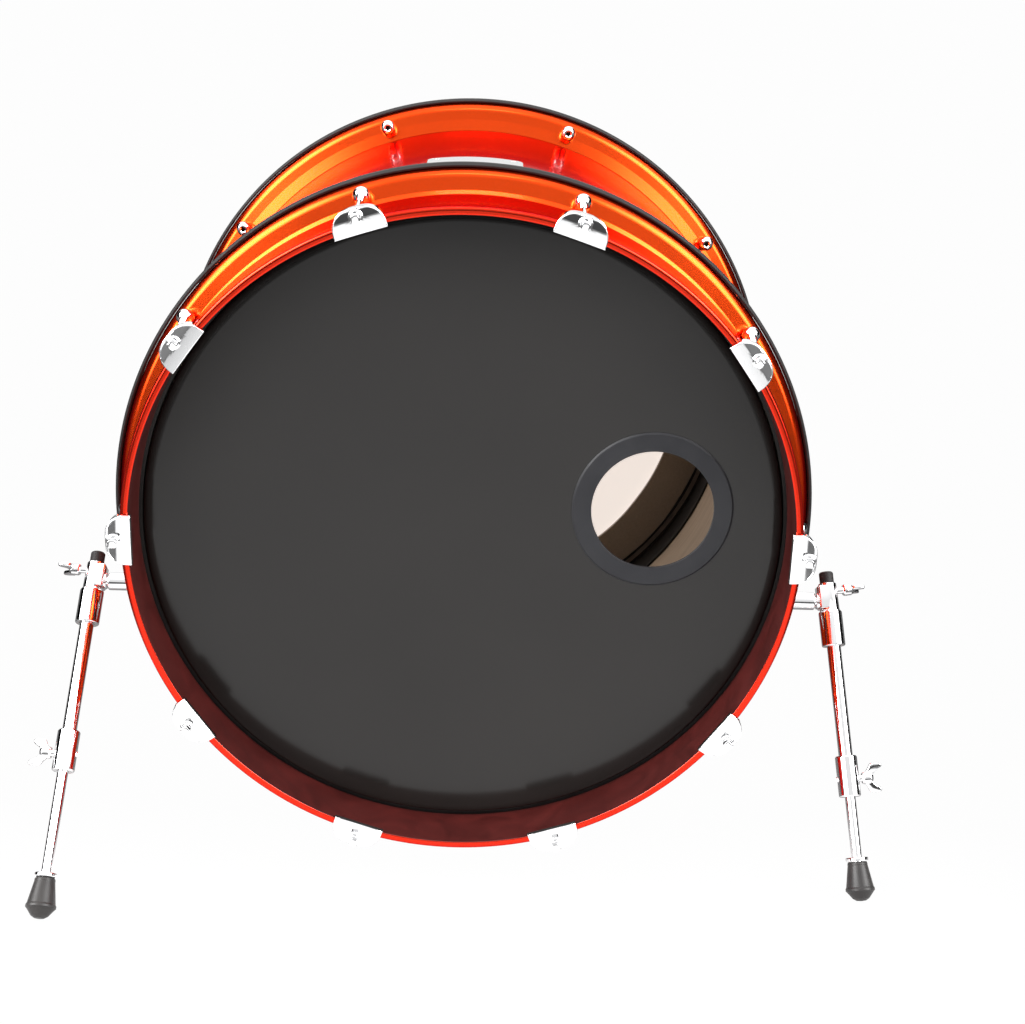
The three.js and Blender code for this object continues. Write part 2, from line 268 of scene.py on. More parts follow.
class Coating:
    """One Principled material, and short ways to pattern its colour, its roughness and its relief."""

    def __init__(self, name, plain):
        self.material = bpy.data.materials.new(name)
        self.material.use_nodes = True
        self.shader = self.material.node_tree.nodes["Principled BSDF"]
        for socket, value in plain.items():
            self.shader.inputs[socket].default_value = value
        self.add, self.join, self.spread = node_tools(self.material.node_tree)
        self.place = self.add("TexCoord")

    def pattern(self, values, kind="TexNoise"):
        """A texture laid on the piece's own coordinates."""
        texture = self.add(kind, values)
        self.join(self.place.outputs["Object"], texture.inputs["Vector"])
        return texture

    def colours(self, source, dark, light, low=0.0, high=1.0):
        """The surface goes from dark to light as source goes from low to high."""
        tones = self.add("ValToRGB")
        set_ramp(tones, [(low, (*dark, 1)), (high, (*light, 1))])
        self.join(source, tones.inputs[0])
        self.join(tones.outputs[0], self.shader.inputs["Base Color"])

    def relief(self, source, strength, distance, socket="Normal", invert=False):
        """Source raises the surface, or presses it in when inverted, by up to distance in metres."""
        bump = self.add("Bump", {"Strength": strength, "Distance": distance}, invert=invert)
        self.join(source, bump.inputs["Height"])
        self.join(bump.outputs[0], self.shader.inputs[socket])
        return bump

    def handled(self, scale, contrast, low, high, depth=0.0):
        """Smudges change the roughness between low and high, and rubbed lines press in by depth in metres."""
        marks = self.add("Group", {"Scale": scale, "Contrast": contrast}, node_tree=HANDLING)
        roughness = self.spread(marks.outputs["Smudge"], 0.0, 1.0, low, high)
        self.join(roughness, self.shader.inputs["Roughness"])
        if depth:
            self.relief(marks.outputs["Rubbed"], 0.6, depth, invert=True)
        return marks.outputs["Rubbed"]


def candy_lacquer(name, face_on, slanted):
    """Gold flake under transparent orange-red, with a clear coat: redder where the coat is seen edge on."""
    lacquer = Coating(name, {
        "Metallic": 0.97, "Specular Tint": (0.85, 0.10, 0.10, 1),
        "Coat Weight": 0.12, "Coat Roughness": 0.02, "Coat IOR": 1.40,
    })
    add, join = lacquer.add, lacquer.join
    facing = add("LayerWeight", {"Blend": 0.42})
    coat_depth = add("ValToRGB")
    set_ramp(coat_depth, [
        (0.0, face_on), (0.26, slanted), (0.5, (0.74, 0.012, 0.010, 1)), (1.0, (0.50, 0.003, 0.012, 1)),
    ])
    join(facing.outputs["Facing"], coat_depth.inputs[0])
    flake = lacquer.pattern({"Scale": 2600.0}, "TexVoronoi")
    tinted = add("VectorMath", operation="SCALE")
    join(coat_depth.outputs[0], tinted.inputs[0])
    join(lacquer.spread(flake.outputs["Color"], 0.0, 1.0, 0.90, 1.10), tinted.inputs["Scale"])
    join(tinted.outputs[0], lacquer.shader.inputs["Base Color"])
    lacquer.handled(22.0, 1.6, 0.15, 0.21)
    orange_peel = lacquer.pattern({"Scale": 160.0, "Detail": 2.0})
    lacquer.relief(orange_peel.outputs["Fac"], 0.10, 0.0003, "Coat Normal")
    lacquer.relief(flake.outputs["Distance"], 0.16, 0.0001)
    return lacquer.material


def stained_wood():
    """Dark stain under semi-gloss varnish, on the inner face of the hoops."""
    stain = Coating("stained_hoop_wood", {"IOR": 1.32, "Coat Weight": 0.08, "Coat Roughness": 0.12})
    grain = stain.pattern({"Scale": 26.0, "Detail": 5.0, "Distortion": 1.6})
    stain.colours(grain.outputs["Fac"], (0.028, 0.0045, 0.004), (0.050, 0.008, 0.007), 0.3, 0.7)
    stain.handled(34.0, 1.5, 0.3, 0.42, 0.00002)
    return stain.material


LACQUER = candy_lacquer("orange_candy_lacquer", (0.78, 0.066, 0.006, 1), (0.76, 0.052, 0.006, 1))
HOOP_LACQUER = candy_lacquer("hoop_candy_lacquer", (0.70, 0.030, 0.010, 1), (0.68, 0.022, 0.010, 1))
HOOP_INSIDE = stained_wood()


def rounded(corners):
    """An outline's corners (radius, height, rounding, finish number), with each one turned to an arc.
    A close extra point on each side of the arc keeps the flat stretches flat when they are shaded."""
    outline = []
    for k, (radius, height, rounding, finish_number) in enumerate(corners):
        here = Vector((radius, height))
        earlier_finish = corners[k - 1][3]
        to_last = Vector(corners[k - 1][:2]) - here
        to_next = Vector(corners[(k + 1) % len(corners)][:2]) - here
        if rounding == 0 or radius == 0:
            outline.append((radius, height, finish_number))
            continue
        opening = to_last.angle(to_next)
        cut = min(rounding / math.tan(opening / 2), 0.46 * to_last.length, 0.46 * to_next.length)
        start = here + to_last.normalized() * cut
        end = here + to_next.normalized() * cut
        count = max(3, round((math.pi - opening) / math.radians(11)))
        support = min(0.35, 0.03 * to_last.length, 0.03 * to_next.length)
        before = start + to_last.normalized() * support
        outline.append((before.x, before.y, earlier_finish))
        for step in range(count + 1):
            t = step / count
            point = start * (1 - t) ** 2 + here * 2 * t * (1 - t) + end * t * t
            outline.append((point.x, point.y, earlier_finish if t < 0.5 else finish_number))
        after = end + to_next.normalized() * support
        outline.append((after.x, after.y, finish_number))
    return outline


def make_piece(name, points, faces, finishes, numbers=None, sharp=34):
    """A smooth mesh piece in the drum's frame, with edges over the sharp angle kept crisp."""
    mesh = bpy.data.meshes.new(name)
    mesh.from_pydata([tuple(p) for p in points], [], faces)
    for material in finishes:
        mesh.materials.append(material)
    if numbers:
        mesh.polygons.foreach_set("material_index", numbers)
    mesh.update()
    work = bmesh.new()
    work.from_mesh(mesh)
    bmesh.ops.remove_doubles(work, verts=work.verts, dist=1e-7)
    bmesh.ops.recalc_face_normals(work, faces=work.faces)
    for edge in work.edges:
        edge.smooth = len(edge.link_faces) == 2 and edge.calc_face_angle() < math.radians(sharp)
    for face in work.faces:
        face.smooth = True
    work.to_mesh(mesh)
    work.free()
    piece = bpy.data.objects.new(name, mesh)
    bpy.context.collection.objects.link(piece)
    return piece


def turned(name, corners, place, finishes, steps=64, warp=None):
    """A piece turned about its own Z from rounded corners in millimetres, then put in place.
    warp may move a point, given its radius, height and turn."""
    outline = rounded([corner if len(corner) == 4 else (*corner, 0) for corner in corners])
    points, rings = [], []
    for radius, height, _ in outline:
        if radius < 1e-6:
            rings.append([len(points)] * steps)
            points.append(place @ Vector((0, 0, height)))
            continue
        first = len(points)
        rings.append(list(range(first, first + steps)))
        for step in range(steps):
            angle = 2 * math.pi * step / steps
            r, h = warp(radius, height, angle) if warp else (radius, height)
            points.append(place @ Vector((r * math.cos(angle), r * math.sin(angle), h)))
    faces, numbers = [], []
    for k, ring in enumerate(rings):
        other = rings[(k + 1) % len(rings)]
        if ring[0] == ring[1] and other[0] == other[1]:
            continue
        for step in range(steps):
            onward = (step + 1) % steps
            face = [ring[step], ring[onward], other[onward], other[step]]
            face = [v for n, v in enumerate(face) if v not in face[:n]]
            faces.append(face)
            numbers.append(outline[k][2])
    return make_piece(name, points, faces, finishes, numbers)


def settle(piece, body, slot, *nodes):
    """The piece rides on its body and stands for its CAD nodes. The finish slot is not used."""
    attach(piece, body)
    if nodes:
        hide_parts(*nodes)
    return piece


def batter_end(corners):
    """The same corners at the batter end: mirrored along the drum and grown to its radius."""
    return [
        (corner[0] + BATTER_GROWTH if corner[0] > 0 else 0, DRUM_DEPTH - corner[1], *corner[2:])
        for corner in corners
    ]


FINE = 288

# Corners are (radius, depth, rounding, number of the finish on the face that follows).
hoop = [
    (281, 0, 1.6, 0), (287.7, 0, 3.2, 0), (288.2, 57, 0.8, 0), (286.9, 57, 0.3, 1),
    (286.9, 50, 0.2, 1), (281, 50, 0.4, 1),
]
piece = turned("front_hoop_bent_wood", hoop, DRUM, [HOOP_LACQUER, HOOP_INSIDE], FINE)
settle(piece, "drum", "orange_lacquer", "front_hoop")
piece = turned("batter_hoop_bent_wood", batter_end(hoop), DRUM, [HOOP_LACQUER, HOOP_INSIDE], FINE)
settle(piece, "drum", "orange_lacquer", "batter_hoop")

# ---- front head ----
# One layer of glossy black film, stretched flat and turned down at the rim into a dark metal channel.
# The microphone port is cut in it on the right, above the middle.


def black_gloss_film():
    """Black film with a faint haze, a slow wave in its surface and fine rubbed lines."""
    gloss = Coating("black_gloss_film", {"IOR": 1.40})
    haze = gloss.pattern({"Scale": 3.2, "Detail": 4.0})
    gloss.colours(haze.outputs["Fac"], (0.0060, 0.0052, 0.0048), (0.0092, 0.0080, 0.0074), 0.3, 0.7)
    rubbed = gloss.handled(18.0, 1.8, 0.15, 0.17)
    slack = gloss.pattern({"Scale": 5.0, "Detail": 1.0})
    wave = gloss.relief(slack.outputs["Fac"], 0.12, 0.0008)
    scuffed = gloss.relief(rubbed, 0.25, 0.00002, invert=True)
    gloss.join(wave.outputs[0], scuffed.inputs["Normal"])
    return gloss.material


def satin(name, colour, low, high, metallic):
    """A soft, slightly uneven polish on bare metal, on ink or tape, or on black that is painted shade."""
    polish = Coating(name, {"Metallic": metallic})
    stain = polish.pattern({"Scale": 60.0, "Detail": 3.0})
    polish.colours(stain.outputs["Fac"], [part * 0.92 for part in colour], colour)
    polish.handled(45.0, 1.8, low, high, 0.00001)
    return polish.material


BLACK_FILM = black_gloss_film()
DARK_RIM = satin("dark_anodised_rim", (0.035, 0.033, 0.032), 0.38, 0.5, 1.0)

ring_low, ring_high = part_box("port_ring")
PORT = Vector((
    ((ring_low.x + ring_high.x) / 2 - AXIS.x) * 1000,
    ((ring_low.z + ring_high.z) / 2 - AXIS.z) * 1000,
))
PORT_RING = (ring_high.x - ring_low.x) / 2 * 1000
PORT_HOLE = PORT_RING - 16.6
HEAD_RECESS = 45.0
FILM_EDGE = 268.0
FILM_THICKNESS = 0.00035
FILM_RAYS, FLAT_RINGS = 320, 8
# Radius and depth of the film as it turns down into the rim.
COLLAR_FALL = [
    (270.5, 45.02), (272.6, 45.3), (274.4, 46.0), (275.8, 47.1), (276.8, 48.6), (277.4, 50.4), (277.5, 53.5),
]

# The film is a fan of rays from the port's edge to the rim, so that the hole is truly round.
points, faces = [], []
for step in range(FILM_RAYS):
    angle = 2 * math.pi * step / FILM_RAYS
    ray_way = Vector((math.cos(angle), math.sin(angle)))
    near = PORT + ray_way * PORT_HOLE
    along_ray = PORT.dot(ray_way)
    length = -along_ray + math.sqrt(along_ray**2 - PORT.length_squared + FILM_EDGE**2)
    far = PORT + ray_way * length
    for ring in range(FLAT_RINGS + 1):
        flat = near.lerp(far, ring / FLAT_RINGS)
        points.append(DRUM @ Vector((flat.x, -flat.y, HEAD_RECESS)))
    for radius, depth in COLLAR_FALL:
        edge = far.normalized() * radius
        points.append(DRUM @ Vector((edge.x, -edge.y, depth)))
rows = FLAT_RINGS + 1 + len(COLLAR_FALL)
for step in range(FILM_RAYS):
    here, onward = step * rows, (step + 1) % FILM_RAYS * rows
    for ring in range(rows - 1):
        faces.append((here + ring, here + ring + 1, onward + ring + 1, onward + ring))
film = make_piece("front_head_film", points, faces, [BLACK_FILM], sharp=60)
thick = film.modifiers.new("film_thickness", "SOLIDIFY")
thick.thickness, thick.offset = FILM_THICKNESS, 0
settle(film, "drum", "black_film", "front_head")

rim = [
    (277.9, 50.5, 0.8), (286.2, 50.5, 0.8), (286.2, 56.8, 0.5), (285, 56.8, 0.3), (285, 52, 0.8),
    (279.2, 52, 0.8), (279.2, 56.8, 0.3), (277.9, 56.8, 0.4),
]
settle(turned("front_head_rim", rim, DRUM, [DARK_RIM], FINE), "drum", "black_film")

# ---- port ring ----
# A flat moulded ring of matte black plastic.
# It is glued round the hole, on both sides of its edge, so that the film can't tear.


def moulded_black(name, dark, light, low, high):
    """Black plastic or rubber with a fine moulded grain."""
    moulding = Coating(name, {"IOR": 1.36})
    patch = moulding.pattern({"Scale": 38.0, "Detail": 4.0})
    moulding.colours(patch.outputs["Fac"], dark, light, 0.32, 0.68)
    moulding.handled(55.0, 1.5, low, high)
    grain = moulding.pattern({"Scale": 900.0, "Detail": 2.0})
    moulding.relief(grain.outputs["Fac"], 0.35, 0.00006)
    return moulding.material


PORT_PLASTIC = moulded_black("port_ring_plastic", (0.010, 0.010, 0.012), (0.015, 0.015, 0.017), 0.42, 0.55)
PORT_PLACE = DRUM @ Matrix.Translation((PORT.x, -PORT.y, 0))

port_ring = [
    (PORT_HOLE - 1.0, 43.4, 0.5), (PORT_RING - 2.2, 43.3, 0.8), (PORT_RING - 0.3, 44.6, 0.2),
    (PORT_HOLE - 0.6, 44.7, 0.1), (PORT_HOLE - 0.6, 46.2, 0.3), (PORT_HOLE - 1.0, 46.2, 0.1),
]
piece = turned("port_ring_moulding", port_ring, PORT_PLACE, [PORT_PLASTIC], 160)
settle(piece, "drum", "black_trim", "port_ring")

# ---- batter head ----
# A coated white film under the batter hoop, glued in its own rim. Round the edge of its inner side, two black
# rings are painted shadow, with a grey ring between them. That side also glows with painted light, for light
# from behind that fills the drum.


def coated_film():
    """Sprayed white coating with a fine tooth. The inner side glows with painted light, for light through it
    from behind.
    """
    coat = Coating("coated_white_film", {"IOR": 1.45, "Emission Strength": 0.78})
    sprayed = coat.pattern({"Scale": 9.0, "Detail": 5.0})
    coat.colours(sprayed.outputs["Fac"], (0.84, 0.79, 0.74), (0.90, 0.86, 0.82), 0.3, 0.7)
    # Painted glow: the inner side emits light, standing in for light coming through the film from behind.
    inner_side = coat.add("SeparateXYZ")
    coat.join(coat.place.outputs["Normal"], inner_side.inputs[0])
    painted_glow_through = coat.add("MixRGB", {"Color1": (0, 0, 0, 1), "Color2": (1.0, 0.91, 0.85, 1)})
    coat.join(coat.spread(inner_side.outputs["Y"], -0.2, -0.6, 0.0, 1.0), painted_glow_through.inputs["Fac"])
    coat.join(painted_glow_through.outputs[0], coat.shader.inputs["Emission Color"])
    coat.handled(26.0, 1.4, 0.5, 0.62)
    tooth = coat.pattern({"Scale": 1400.0, "Detail": 2.0})
    coat.relief(tooth.outputs["Fac"], 0.4, 0.00005)
    return coat.material


COATED = coated_film()
# Black for the joint tape, and painted shadow on the batter film's edge and in the ball bores.
DARK_TAPE_AND_PAINTED_SHADE = satin("black_tape_and_painted_shade", (0.010, 0.009, 0.009), 0.5, 0.62, 0.0)
GREY_PRINT = satin("grey_print", (0.30, 0.26, 0.24), 0.5, 0.62, 0.0)

# The black faces round the film's inner edge are painted shadow, by the felt and under the rim.
batter_film = [
    (0, 45, 0, 0), (270, 45, 4, 0), (275.6, 46.6, 2, 0), (277.6, 50, 1, 0), (277.6, 54, 0.1, 1),
    (277.2, 54, 0.1, 1), (277.2, 50.2, 1, 1), (275.2, 47.1, 2, 1), (269.8, 45.5, 0, 1), (268.6, 45.5, 0, 2),
    (264, 45.5, 0, 1), (258.5, 45.5, 0, 0), (0, 45.5, 0, 0),
]
piece = turned("batter_head_film", batter_end(batter_film), DRUM, [COATED, DARK_TAPE_AND_PAINTED_SHADE, GREY_PRINT], FINE)
settle(piece, "drum", "coated_film", "batter_head")
settle(turned("batter_head_rim", batter_end(rim), DRUM, [DARK_RIM], FINE), "drum", "coated_film")

# ---- shell and its collars ----
# A plain ply tube between two flared collars that carry the lugs, all in the same lacquer.
# Inside, the bare wood is pale brown, and the edge that the head rests on is rounded.


def bare_ply():
    """Unfinished wood, with its grain running round the tube."""
    ply = Coating("bare_shell_ply", {"IOR": 1.45})
    stretch = ply.add("Mapping", {"Scale": (18, 240, 18)})
    ply.join(ply.place.outputs["Object"], stretch.inputs["Vector"])
    grain = ply.add("TexNoise", {"Scale": 1.0, "Detail": 6.0, "Distortion": 0.8})
    ply.join(stretch.outputs[0], grain.inputs["Vector"])
    ply.colours(grain.outputs["Fac"], (0.52, 0.42, 0.32), (0.66, 0.55, 0.43), 0.28, 0.72)
    ply.handled(30.0, 1.5, 0.5, 0.65)
    ply.relief(grain.outputs["Fac"], 0.35, 0.00012)
    return ply.material


BARE_PLY = bare_ply()
SHELL_INSIDE, SHELL_OUTSIDE = 283.0, 289.0

front_collar = [
    (269.5, 46, 0.4, 1), (275, 47.3, 1.6, 1), (276.8, 50.2, 1.5, 1), (276.8, 57.5, 0.5, 1),
    (285.2, 57.7, 0.5, 0), (285.2, 77.5, 1.0, 0), (288.5, 80.3, 1.6, 0), (300.8, 84.4, 9, 0),
    (305.5, 90.5, 6, 0), (305.6, 97, 0.6, 0), (289, 107, 6, 0), (289, 116, 0.25, 1),
    (SHELL_INSIDE, 116, 0.25, 1), (SHELL_INSIDE, 72, 5, 1), (272.5, 56, 4, 1), (268.8, 47.6, 1, 1),
]
piece = turned("front_collar_flare", front_collar, DRUM, [LACQUER, BARE_PLY], FINE)
settle(piece, "drum", "orange_lacquer", "front_collar")

tube = [
    (SHELL_INSIDE, 116.3, 0.3, 0), (SHELL_OUTSIDE, 116.3, 0.25, 0), (SHELL_OUTSIDE, 468, 0.25, 0),
    (SHELL_INSIDE, 468, 0.3, 1),
]
piece = turned("shell_ply_tube", tube, DRUM, [LACQUER, BARE_PLY], FINE)
settle(piece, "drum", "orange_lacquer", "shell")

batter_collar = [
    (SHELL_INSIDE, 468.3, 0.3, 0), (289.2, 468.3, 1.5, 0), (300, 473, 6, 0), (310.6, 476.8, 9, 0),
    (315.9, 483.4, 6, 0), (316, 490, 1.0, 0), (300, 493.5, 6, 0), (288.8, 498, 4, 0), (288.8, 509.8, 1.2, 0),
    (287, 512.6, 1.0, 1), (284.4, 513.3, 1.0, 1), (283.6, 512.4, 0.5, 1), (SHELL_INSIDE, 508, 1.5, 1),
]
piece = turned("batter_collar_flare", batter_collar, DRUM, [LACQUER, BARE_PLY], FINE)
settle(piece, "drum", "orange_lacquer", "batter_collar")

# ---- edge beads ----
# Soft black plastic beads, one on each flared edge of the collars.
# Each is a long strip with a slot along it, pushed over the edge.

BEAD_PLASTIC = moulded_black("bead_plastic", (0.006, 0.005, 0.005), (0.010, 0.008, 0.008), 0.55, 0.68)
for name, node, corners in (
    ("front_edge_bead_strip", "front_edge_bead",
     [(305.9, 97.2, 0.4), (305.9, 88.9, 0.4), (307.6, 87.9, 1.6), (309.6, 90.0, 2.0), (309.6, 96.2, 1.4)]),
    ("batter_edge_bead_strip", "batter_edge_bead",
     [(316.3, 490.2, 0.4), (316.3, 481.9, 0.4), (318.0, 480.9, 1.6), (320, 483.0, 2.0), (320, 489.2, 1.4)]),
):
    settle(turned(name, corners, DRUM, [BEAD_PLASTIC], FINE), "drum", "black_trim", node)

# ---- inside the batter end ----
# A black band is taped over the joint between tube and collar.
# A ring of grey-brown felt lies against the batter head and damps it.

FELT_INSIDE, FELT_OUTSIDE, FELT_THICKNESS = 231, 272, 5
FELT_BACK = DRUM_DEPTH - HEAD_RECESS - 0.9


def damping_felt():
    """Matt pressed wool."""
    wool = Coating("damping_felt", {"Roughness": 0.95, "Sheen Weight": 0.5, "Sheen Roughness": 0.5})
    fibres = wool.pattern({"Scale": 420.0, "Detail": 6.0, "Roughness": 0.7, "Distortion": 1.2})
    wool.colours(fibres.outputs["Fac"], (0.38, 0.33, 0.29), (0.50, 0.44, 0.39), 0.3, 0.7)
    wool.relief(fibres.outputs["Fac"], 0.6, 0.0004)
    return wool.material


def felt_nap(radius, height, angle):
    """Felt is cut by hand, so its edges wander a little."""
    wander = noise.noise(Vector((6 * math.cos(angle), 6 * math.sin(angle), radius * 0.05)))
    return radius + 0.8 * wander, height


felt_front = FELT_BACK - FELT_THICKNESS
ring = [
    (FELT_INSIDE, felt_front, 1.4), (FELT_OUTSIDE, felt_front, 1.4),
    (FELT_OUTSIDE, FELT_BACK, 0.8), (FELT_INSIDE, FELT_BACK, 0.8),
]
piece = turned("muffling_ring_felt", ring, DRUM, [damping_felt()], 240, felt_nap)
settle(piece, "drum", "felt", "muffling_ring")

band = [(280.4, 466, 0.4), (282.7, 466, 0.2), (282.7, 507, 0.2), (280.4, 507, 0.4)]
piece = turned("inner_joint_tape", band, DRUM, [DARK_TAPE_AND_PAINTED_SHADE], FINE)
settle(piece, "drum", "black_trim", "inner_joint_band")

# ---- tom holder plate ----
# A chromed steel saddle, curved with the shell and screwed on top of it.
# The base of a tom holder bolts on here.

# The edge's roll is its width and its depth.
PLATE_CORNER, PLATE_EDGE, PLATE_GAP = 12, (1.6, 1.1), 0.35


def chrome_plating():
    """Bright chrome with faint smudges and rubbed lines."""
    chrome = Coating("chrome_plating", {"Metallic": 1.0})
    tint = chrome.pattern({"Scale": 14.0, "Detail": 3.0})
    chrome.colours(tint.outputs["Fac"], (0.90, 0.905, 0.92), (0.97, 0.97, 0.97))
    chrome.handled(70.0, 1.8, 0.035, 0.085, 0.000006)
    return chrome.material


CHROME = chrome_plating()


def ring_faces(rings, count):
    """The faces between rings of count points, each ring following the last."""
    faces = []
    for ring in range(rings - 1):
        for k in range(count):
            here, onward = ring * count + k, ring * count + (k + 1) % count
            faces.append((here, onward, onward + count, here + count))
    return faces


def outline_slab(name, outline, levels, place, sharp):
    """A solid between flat outlines. Its levels are (height, inset) pairs in millimetres, from one face to
    the other: the outline's points are pulled towards its middle by the inset."""
    middle = sum((Vector(p) for p in outline), Vector((0, 0))) / len(outline)
    points, count = [], len(outline)
    for height_mm, inset in levels:
        for p in outline:
            away = Vector(p) - middle
            kept = middle + away * (1 - inset / away.length)
            points.append(place @ Vector((kept.x, kept.y, height_mm)))
    faces = ring_faces(len(levels), count)
    faces.append(tuple(range(count)))
    faces.append(tuple(range((len(levels) - 1) * count, len(levels) * count)))
    return make_piece(name, points, faces, [CHROME], sharp=sharp)


def bent_sheet(name, half, corner, cells, crowding, edge_roll, radii, put):
    """A sheet bent to the shell between two radii, with round corners and its outer edge rolled over.
    half and cells are across and along. Crowding draws the points to the edge, and put places them."""
    points, faces = [], []
    for radius in radii:
        for i in range(cells[0] + 1):
            for j in range(cells[1] + 1):
                shares = (2 * i / cells[0] - 1, 2 * j / cells[1] - 1)
                spot = [math.copysign(1 - (1 - abs(s)) ** crowding, s) * h for s, h in zip(shares, half)]
                over = [abs(p) - (h - corner) for p, h in zip(spot, half)]
                if min(over) > 0 and math.hypot(*over) > corner:
                    shrink = corner / math.hypot(*over)
                    spot = [math.copysign(h - corner + o * shrink, p) for p, h, o in zip(spot, half, over)]
                edge = min(h - abs(p) for p, h in zip(spot, half))
                roll = max(0.0, 1 - edge / edge_roll[0]) if radius == radii[1] else 0.0
                drop = edge_roll[1] * (1 - math.sqrt(max(0.0, 1 - roll * roll)))
                points.append(put(*spot, radius - drop))
    row = cells[1] + 1
    sheet = (cells[0] + 1) * row
    for start in (0, sheet):
        for i in range(cells[0]):
            for j in range(cells[1]):
                here = start + i * row + j
                faces.append((here, here + row, here + row + 1, here + 1))
    border = [i * row for i in range(cells[0])] + [cells[0] * row + j for j in range(cells[1])]
    border += [i * row + cells[1] for i in range(cells[0], 0, -1)] + list(range(cells[1], 0, -1))
    for here, onward in zip(border, border[1:] + border[:1]):
        faces.append((here, onward, onward + sheet, here + sheet))
    return make_piece(name, points, faces, [CHROME], sharp=50)


plate_low, plate_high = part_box("tom_holder_plate")
PLATE_TOP = (plate_high.z - AXIS.z) * 1000
plate_half = ((plate_high.x - plate_low.x) * 500, (plate_high.y - plate_low.y) * 500)
plate_middle = ((plate_low.y + plate_high.y) / 2 - AXIS.y) * 1000


def on_top(across_mm, along_mm, radius):
    """A point over the shell's top."""
    turn = across_mm / PLATE_TOP
    return DRUM @ Vector((radius * math.sin(turn), -radius * math.cos(turn), plate_middle + along_mm))


plate_radii = (SHELL_OUTSIDE + PLATE_GAP, PLATE_TOP - 0.2)
plate = bent_sheet(
    "tom_holder_saddle", plate_half, PLATE_CORNER, (40, 32), 1.6, PLATE_EDGE, plate_radii, on_top
)
settle(plate, "drum", "chrome", "tom_holder_plate")


def slotted_screw(name, head_radius, head_height, place, body):
    """A pan-head screw with a cross recess, its head sitting on the surface at height zero."""
    rings, steps = 7, 32
    points = []
    for ring in range(rings + 1):
        share = 1 - ring / rings
        r = head_radius * math.sin(share * math.pi / 2) ** 0.8
        h = head_height * math.cos(share * math.pi / 2) ** 0.7
        for step in range(steps):
            angle = 2 * math.pi * step / steps
            x, y = r * math.cos(angle), r * math.sin(angle)
            in_slot = min(abs(x), abs(y)) < 0.13 * head_radius and max(abs(x), abs(y)) < 0.55 * head_radius
            points.append(place @ Vector((x, y, h - (0.45 * head_height if in_slot else 0))))
    faces = ring_faces(rings + 1, steps) + [tuple(range(steps))]
    return settle(make_piece(name, points, faces, [CHROME]), body, "chrome")


SCREW_INSET = 10
for number, (side_x, side_y) in enumerate(((-1, -1), (1, -1), (1, 1), (-1, 1)), 1):
    turn = side_x * (plate_half[0] - SCREW_INSET) / PLATE_TOP
    depth = plate_middle + side_y * (plate_half[1] - SCREW_INSET)
    upright = Matrix.Rotation(turn, 4, "Z") @ Matrix.Translation((0, -(PLATE_TOP - 1.0), depth))
    place = DRUM @ upright @ Matrix.Rotation(math.pi / 2, 4, "X")
    slotted_screw(f"plate_screw_{number}", 3.2, 1.0, place, "drum")

# ---- claws ----
# Pressed steel claws, chromed: a D-shaped plate over the hoop's face with a folded lip along its outside.
# Inside its rim the plate is pressed in a little along the outer arch, where the rod goes through.

STATIONS = 10
ROD_RADIUS_OUT = 292.3
CLAW_INNER, CLAW_BACK, CLAW_LIP = 1.2, -0.3, 7.0
CLAW_STEEL = 0.0014
CLAW_HALF, CLAW_EDGE_AT = 22.4, 277.5
# The side of the claw from its straight inner edge to the top of its arch: tangent and radius.
CLAW_SIDE = ((CLAW_HALF, CLAW_EDGE_AT), (21.9, 285.5), (18.6, 292.6), (12.4, 297.4), (4.5, 299.1))
# Rows of points from the plate's edge inwards: first in millimetres, then as shares of the way to the rod.
EDGE_ROWS = [0.0, 0.06, 0.2, 0.45, 0.8, 1.15, 1.3, 1.5, 1.75, 2.0]
INNER_ROWS = [0.08, 0.18, 0.3, 0.45, 0.6, 0.78, 0.92]

BATTER_MIRROR = Matrix.Translation((0, DRUM_DEPTH, BATTER_GROWTH)) @ Matrix.Rotation(math.pi, 4, "Z")


def station(number, batter=False):
    """A claw's own frame in millimetres: X round the hoop, Y back along the drum, Z out from its axis."""
    turn = math.pi / 2 - 2 * math.pi * (number - 1) / STATIONS
    place = Matrix.Translation(AXIS) @ Matrix.Rotation(turn, 4, "Y") @ MM
    return place @ BATTER_MIRROR if batter else place


def claw_outline():
    """Tangent and radius round the claw: a straight inner edge, then sides that arch over the rod."""
    corners = [Vector(p) for p in CLAW_SIDE]
    half = []
    for k in range(len(corners) - 1):
        before, here = corners[max(k - 1, 0)], corners[k]
        onward, after = corners[k + 1], corners[min(k + 2, len(corners) - 1)]
        for step in range(5):
            t = step / 5
            bend = (onward - before) * t + (2 * before - 5 * here + 4 * onward - after) * t * t
            half.append(0.5 * (2 * here + bend + (3 * here - before - 3 * onward + after) * t ** 3))
    half.append(corners[-1])
    straight = [Vector((CLAW_HALF * (2 * k / 8 - 1), CLAW_EDGE_AT)) for k in range(1, 8)]
    return straight + half + [Vector((-p.x, p.y)) for p in reversed(half)]


CLAW_OUTLINE = claw_outline()


def plate_height(point, inset):
    """The plate's front stands before the hoop with its rim rolled over. Past the rim it is pressed in,
    on a slope that is deepest along the outer arch."""
    roll = max(0.0, 1 - inset / 0.8)
    slope = 0.85 * min(1.0, max(0.0, (point.y - 290.0) / 6.5))
    wall = min(1.0, max(0.0, (inset - 1.2) / 0.5))
    return -0.9 - 2.0 * math.sqrt(max(0.0, 1 - roll * roll)) + slope * wall


